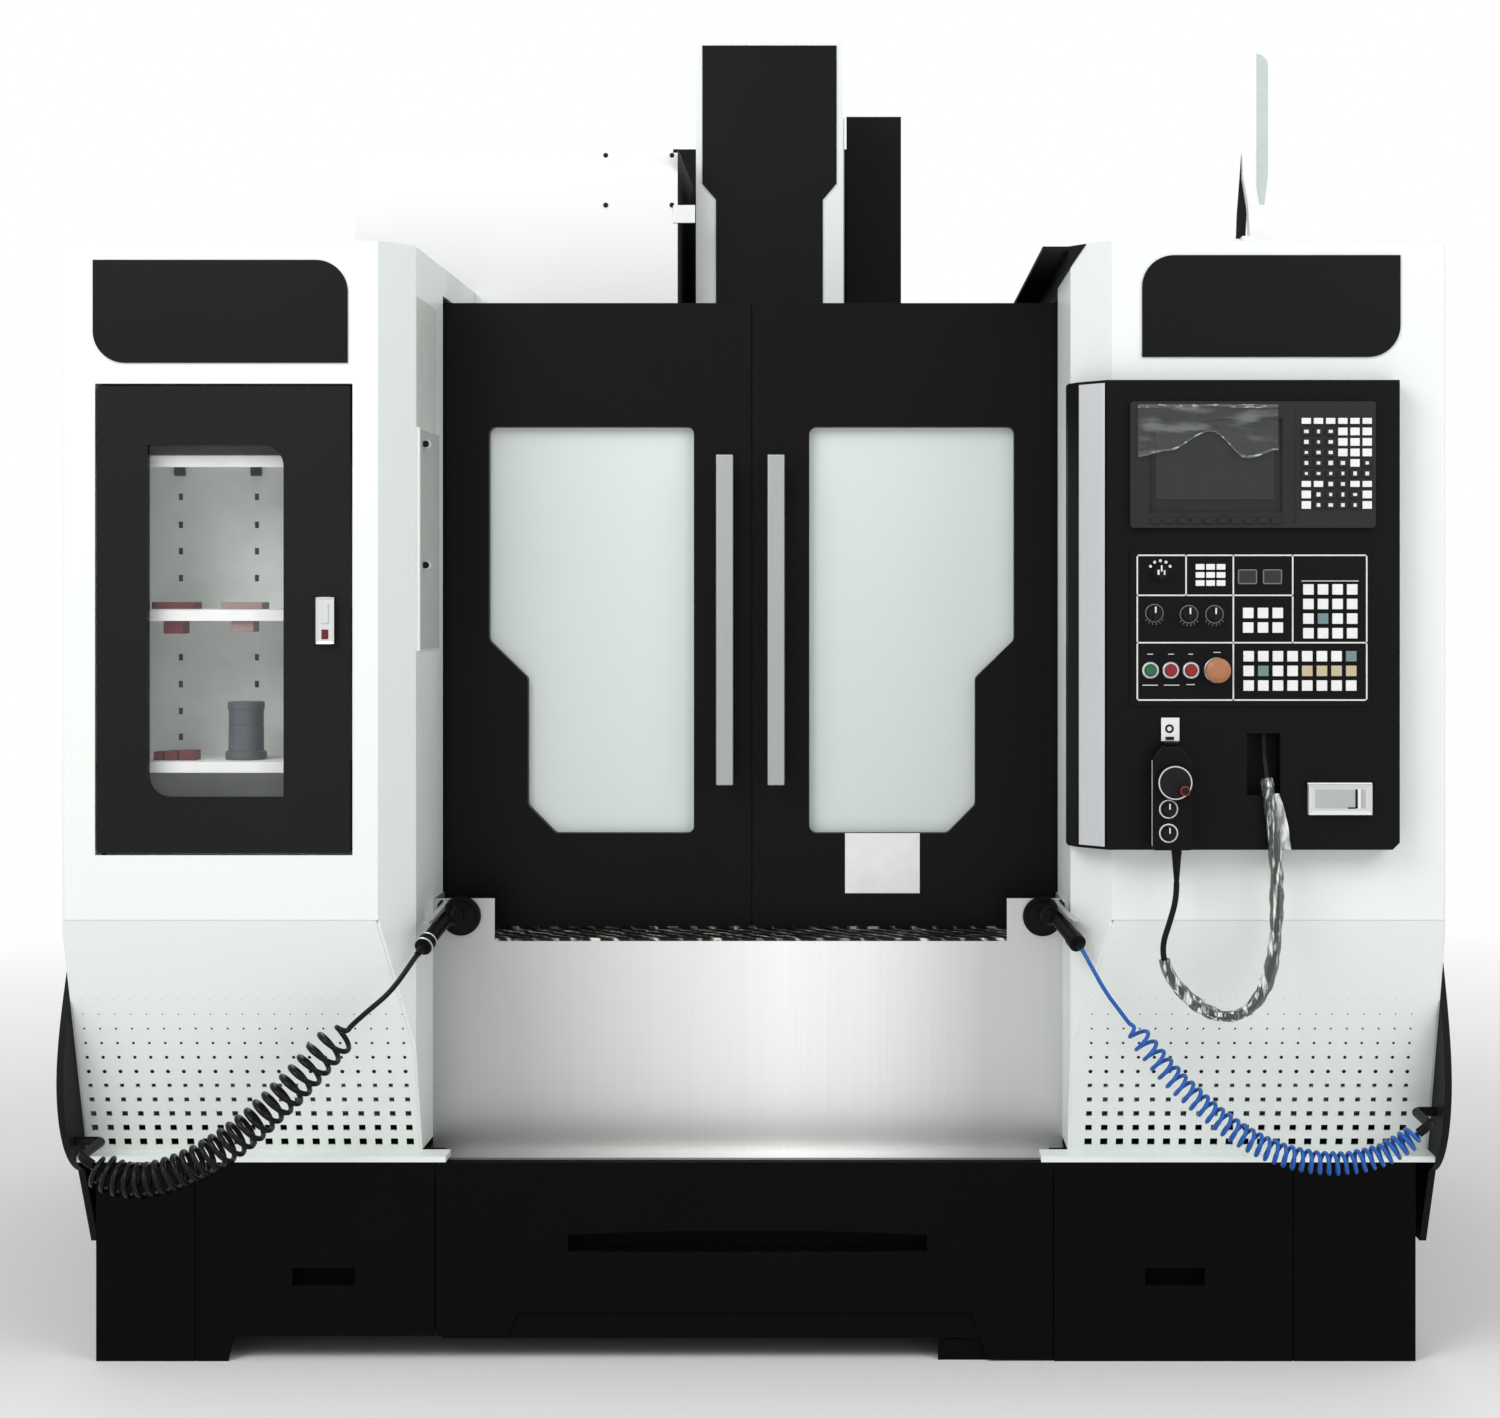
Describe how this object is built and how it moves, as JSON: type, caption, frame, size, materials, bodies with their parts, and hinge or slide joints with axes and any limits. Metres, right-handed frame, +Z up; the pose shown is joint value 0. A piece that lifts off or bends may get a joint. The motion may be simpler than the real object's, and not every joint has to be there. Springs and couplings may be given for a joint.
{
  "type": "cnc machining center",
  "caption": "Vertical machining centre with sliding doors, operator panel, tool changer, store cabinet, chip drawer and coiled gun hoses.",
  "frame": {"origin": "on the floor under the middle of the machine's outline, cords left out", "axes": "+X to the operator's right, +Y to the back, +Z up"},
  "size_m": [2.38, 2.3966, 2.458],
  "materials": {
    "white_paint": "smooth light powder coat",
    "black_paint": "satin black powder coat",
    "grey_paint": "satin light grey powder coat",
    "castings": "painted casting",
    "ground_steel": "ground",
    "grey_steel": "brushed sheet",
    "bare_aluminium": "satin",
    "bright_chrome": "polished",
    "black_plastic": "matt moulded",
    "green_plastic": "moulded",
    "red_plastic": "moulded",
    "lamp_plastic": "pale lens, opaque",
    "black_rubber": "satin hose",
    "blue_hose": "polyurethane hose",
    "clear_glass": "clear pane",
    "frosted_glass": "safety pane behind a milky film"
  },
  "bodies": {
    "machine": {"bed_casting": "castings", "leveling_feet": "castings", "column_casting": "castings", "magazine_cover": "white_paint", "changer_gearbox": "castings", "left_cabinet": "white_paint", "right_cabinet": "white_paint", "vent_panels": "white_paint", "name_panels": "black_plastic", "cabinet_shelves": "grey_paint", "front_apron": "grey_paint", "door_tracks": "grey_steel", "chip_guard": "grey_steel", "rear_enclosure": "black_paint", "electrical_cabinet": "white_paint", "base_skirt": "black_paint", "operator_panel": "black_paint", "display_unit": "black_plastic", "control_plate": "black_plastic", "pendant": "black_plastic", "signal_lamp": "lamp_plastic", "hose_mounts": "black_plastic", "air_gun": "black_plastic", "coolant_gun": "black_plastic", "air_hose_lead": "black_rubber", "air_hose_coil": "black_rubber", "coolant_hose_lead": "blue_hose", "coolant_hose_coil": "blue_hose", "pendant_cable": "black_rubber"},
    "left_door": {"left_door": "black_paint", "left_window": "frosted_glass"},
    "right_door": {"right_door": "black_paint", "right_window": "frosted_glass"},
    "cabinet_door": {"cabinet_door": "black_paint", "cabinet_window": "clear_glass"},
    "cabinet_latch": {"cabinet_latch": "bright_chrome"},
    "saddle": {"saddle": "castings"},
    "worktable": {"worktable": "ground_steel"},
    "headstock": {"headstock": "castings", "head_cover": "white_paint"},
    "spindle": {"spindle": "ground_steel"},
    "magazine_disc": {"magazine_disc": "bare_aluminium"},
    "arm_shaft": {"arm_shaft": "ground_steel"},
    "change_arm": {"change_arm": "ground_steel"},
    "chip_drawer": {"chip_drawer": "black_paint"},
    "electrical_door": {"electrical_door": "white_paint"},
    "start_button": {"start_button": "green_plastic"},
    "hold_button": {"hold_button": "red_plastic"},
    "reset_button": {"reset_button": "red_plastic"},
    "emergency_stop": {"emergency_stop": "red_plastic"},
    "mode_knob": {"mode_knob": "black_plastic"},
    "feed_knob": {"feed_knob": "black_plastic"},
    "rapid_knob": {"rapid_knob": "black_plastic"},
    "speed_knob": {"speed_knob": "black_plastic"},
    "handwheel": {"handwheel": "bare_aluminium"},
    "axis_knob": {"axis_knob": "black_plastic"},
    "rate_knob": {"rate_knob": "black_plastic"},
    "port_latch": {"port_latch": "bare_aluminium"},
    "air_trigger": {"air_trigger": "bare_aluminium"},
    "coolant_trigger": {"coolant_trigger": "bare_aluminium"}
  },
  "joints": [
    {"name": "left_door_slide", "type": "slide", "parent": "machine", "child": "left_door", "axis": [-1, 0, 0], "range_m": [0, 0.5]},
    {"name": "right_door_slide", "type": "slide", "parent": "machine", "child": "right_door", "axis": [1, 0, 0], "range_m": [0, 0.5]},
    {"name": "cabinet_door_hinge", "type": "hinge", "parent": "machine", "child": "cabinet_door", "pos_m": [-1.107, -1.068, 1.287], "axis": [0, 0, -1], "range_deg": [0, 100]},
    {"name": "latch_turn", "type": "hinge", "parent": "cabinet_door", "child": "cabinet_latch", "pos_m": [-0.728, -1.077, 1.285], "axis": [0, 1, 0], "range_deg": [0, 90]},
    {"name": "saddle_slide", "type": "slide", "parent": "machine", "child": "saddle", "axis": [0, 1, 0], "range_m": [-0.24, 0.22]},
    {"name": "table_slide", "type": "slide", "parent": "saddle", "child": "worktable", "axis": [1, 0, 0], "range_m": [-0.34, 0.34]},
    {"name": "head_slide", "type": "slide", "parent": "machine", "child": "headstock", "axis": [0, 0, 1], "range_m": [-0.5, 0]},
    {"name": "spindle_turn", "type": "hinge", "parent": "headstock", "child": "spindle", "pos_m": [-0.004, -0.12, 1.6], "axis": [0, 0, 1], "continuous": true},
    {"name": "magazine_turn", "type": "hinge", "parent": "machine", "child": "magazine_disc", "pos_m": [-0.6, -0.04, 1.88], "axis": [1, 0, 0], "continuous": true},
    {"name": "arm_slide", "type": "slide", "parent": "machine", "child": "arm_shaft", "axis": [0, 0, 1], "range_m": [-0.115, 0]},
    {"name": "arm_turn", "type": "hinge", "parent": "arm_shaft", "child": "change_arm", "pos_m": [-0.304, -0.12, 1.46], "axis": [0, 0, 1], "range_deg": [0, 270]},
    {"name": "drawer_slide", "type": "slide", "parent": "machine", "child": "chip_drawer", "axis": [0, -1, 0], "range_m": [0, 0.4]},
    {"name": "electrical_door_hinge", "type": "hinge", "parent": "machine", "child": "electrical_door", "pos_m": [-0.482, 1.1923, 1.24], "axis": [0, 0, 1], "range_deg": [0, 110]},
    {"name": "start_button_press", "type": "slide", "parent": "machine", "child": "start_button", "axis": [0, 1, 0], "range_m": [0, 0.004], "stiffness_N_per_m": 400},
    {"name": "hold_button_press", "type": "slide", "parent": "machine", "child": "hold_button", "axis": [0, 1, 0], "range_m": [0, 0.004], "stiffness_N_per_m": 400},
    {"name": "reset_button_press", "type": "slide", "parent": "machine", "child": "reset_button", "axis": [0, 1, 0], "range_m": [0, 0.004], "stiffness_N_per_m": 400},
    {"name": "emergency_stop_press", "type": "slide", "parent": "machine", "child": "emergency_stop", "axis": [0, 1, 0], "range_m": [0, 0.005], "stiffness_N_per_m": 600},
    {"name": "mode_knob_turn", "type": "hinge", "parent": "machine", "child": "mode_knob", "pos_m": [0.685, -1.13, 1.367], "axis": [0, -1, 0], "range_deg": [-120, 120]},
    {"name": "feed_knob_turn", "type": "hinge", "parent": "machine", "child": "feed_knob", "pos_m": [0.675, -1.13, 1.298], "axis": [0, -1, 0], "range_deg": [-140, 140]},
    {"name": "rapid_knob_turn", "type": "hinge", "parent": "machine", "child": "rapid_knob", "pos_m": [0.733, -1.13, 1.296], "axis": [0, -1, 0], "range_deg": [-60, 60]},
    {"name": "speed_knob_turn", "type": "hinge", "parent": "machine", "child": "speed_knob", "pos_m": [0.776, -1.13, 1.296], "axis": [0, -1, 0], "range_deg": [-120, 120]},
    {"name": "handwheel_turn", "type": "hinge", "parent": "machine", "child": "handwheel", "pos_m": [0.703, -1.17, 1.017], "axis": [0, -1, 0], "continuous": true},
    {"name": "axis_knob_turn", "type": "hinge", "parent": "machine", "child": "axis_knob", "pos_m": [0.694, -1.165, 0.972], "axis": [0, -1, 0], "range_deg": [-90, 90]},
    {"name": "rate_knob_turn", "type": "hinge", "parent": "machine", "child": "rate_knob", "pos_m": [0.694, -1.165, 0.932], "axis": [0, -1, 0], "range_deg": [-60, 60]},
    {"name": "port_latch_hinge", "type": "hinge", "parent": "machine", "child": "port_latch", "pos_m": [0.986, -1.1233, 1.011], "axis": [-1, 0, 0], "range_deg": [0, 110]},
    {"name": "air_trigger_hinge", "type": "hinge", "parent": "machine", "child": "air_trigger", "pos_m": [-0.54441, -0.96866, 0.78715], "axis": [0.9701, -0.2425, 0], "range_deg": [0, 6], "stiffness_Nm_per_rad": 2},
    {"name": "coolant_trigger_hinge", "type": "hinge", "parent": "machine", "child": "coolant_trigger", "pos_m": [0.52417, -0.98778, 0.79061], "axis": [0.9507, 0.3102, 0], "range_deg": [0, 6], "stiffness_Nm_per_rad": 2}
  ]
}
